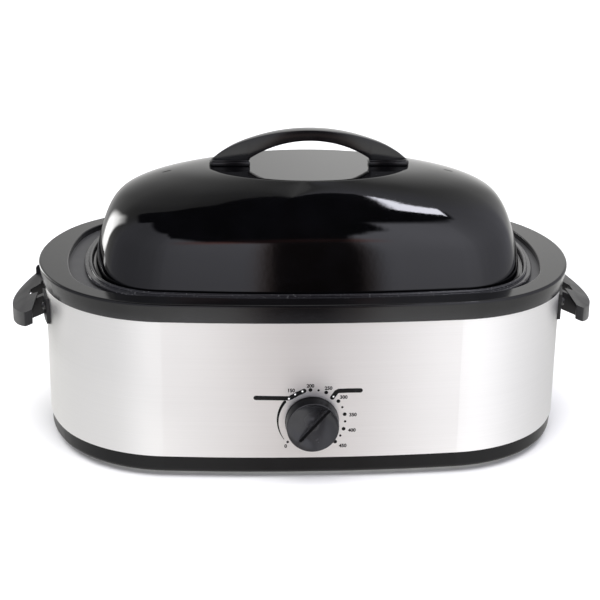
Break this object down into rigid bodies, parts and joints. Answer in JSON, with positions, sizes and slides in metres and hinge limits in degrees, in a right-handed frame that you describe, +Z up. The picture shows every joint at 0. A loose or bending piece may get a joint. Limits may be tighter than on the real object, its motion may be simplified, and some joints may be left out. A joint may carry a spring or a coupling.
{
  "type": "electric roaster oven",
  "caption": "Oval countertop roaster: steel-wrapped heated housing, lift-out enamelled pan, wire rack, domed lift-off lid with arched handle, side handles and a turning dial.",
  "frame": {"origin": "centre of the footprint at table level; the bounding box's centre lies about 3 mm nearer the dial because the dial stands out further than the cord gland", "axes": "+X to the right as seen from the dial side and along the longest side, -Y to the front where the dial is, +Z up"},
  "size_m": [0.602, 0.3461, 0.3124],
  "materials": {
    "steel_wrap": "fine horizontal grain",
    "satin_black": "satin black, heat-resistant moulding",
    "well_coating": "baked dark coating",
    "black_enamel": "gloss black enamel",
    "speckled_enamel": "gloss black enamel with fine speckle",
    "grey_steel": "aluminised steel",
    "moulded_black": "fine moulded texture",
    "knob_black": "fine moulded texture",
    "bright_wire": "bright plated wire",
    "zinc": "zinc plated",
    "glass_fibre": "matted glass fibre",
    "foot_rubber": "soft rubber",
    "ceramic_brown": "moulded phenolic",
    "brass_plated": "nickelled brass",
    "lead_sleeve": "braided sleeve",
    "cream_block": "moulded"
  },
  "bodies": {
    "housing": {"base_tray": "satin_black", "bottom_plate": "grey_steel", "feet": "foot_rubber", "front_wrap": "steel_wrap", "rear_wrap": "steel_wrap", "collar": "satin_black", "collar_screws": "zinc", "heating_well": "well_coating", "heater_band": "grey_steel", "insulation_blanket": "glass_fibre", "heat_shield": "grey_steel", "well_posts": "zinc", "base_screws": "zinc", "thermostat_bracket": "zinc", "thermostat": "ceramic_brown", "thermostat_nut": "brass_plated", "bracket_screws": "zinc", "sensor_bulb": "brass_plated", "bulb_clips": "zinc", "thermal_cutout": "ceramic_brown", "terminal_block": "cream_block", "terminal_screws": "brass_plated", "cord_gland": "moulded_black", "internal_leads": "lead_sleeve", "earth_screw": "brass_plated", "right_side_handle": "moulded_black", "left_side_handle": "moulded_black", "handle_screws": "zinc", "handle_nuts": "zinc"},
    "knob": {"control_knob": "knob_black", "thermostat_shaft": "zinc"},
    "pan": {"roasting_pan": "speckled_enamel"},
    "rack": {"rack_frame": "bright_wire", "rack_crossbars": "bright_wire", "rack_handles": "bright_wire"},
    "lid": {"lid_dome": "black_enamel", "lid_handle": "moulded_black", "lid_washers": "zinc", "lid_screws": "zinc"}
  },
  "joints": [
    {"name": "dial_turn", "type": "hinge", "parent": "housing", "child": "knob", "pos_m": [0, -0.168, 0.0625], "axis": [0, 1, 0], "range_deg": [-175, 93]},
    {"name": "pan_lift", "type": "slide", "parent": "housing", "child": "pan", "axis": [0, 0, 1], "range_m": [0, 0.16]},
    {"name": "rack_lift", "type": "slide", "parent": "pan", "child": "rack", "axis": [0, 0, 1], "range_m": [0, 0.15]},
    {"name": "lid_lift", "type": "slide", "parent": "rack", "child": "lid", "axis": [0, 0, 1], "range_m": [0, 0.16]}
  ]
}
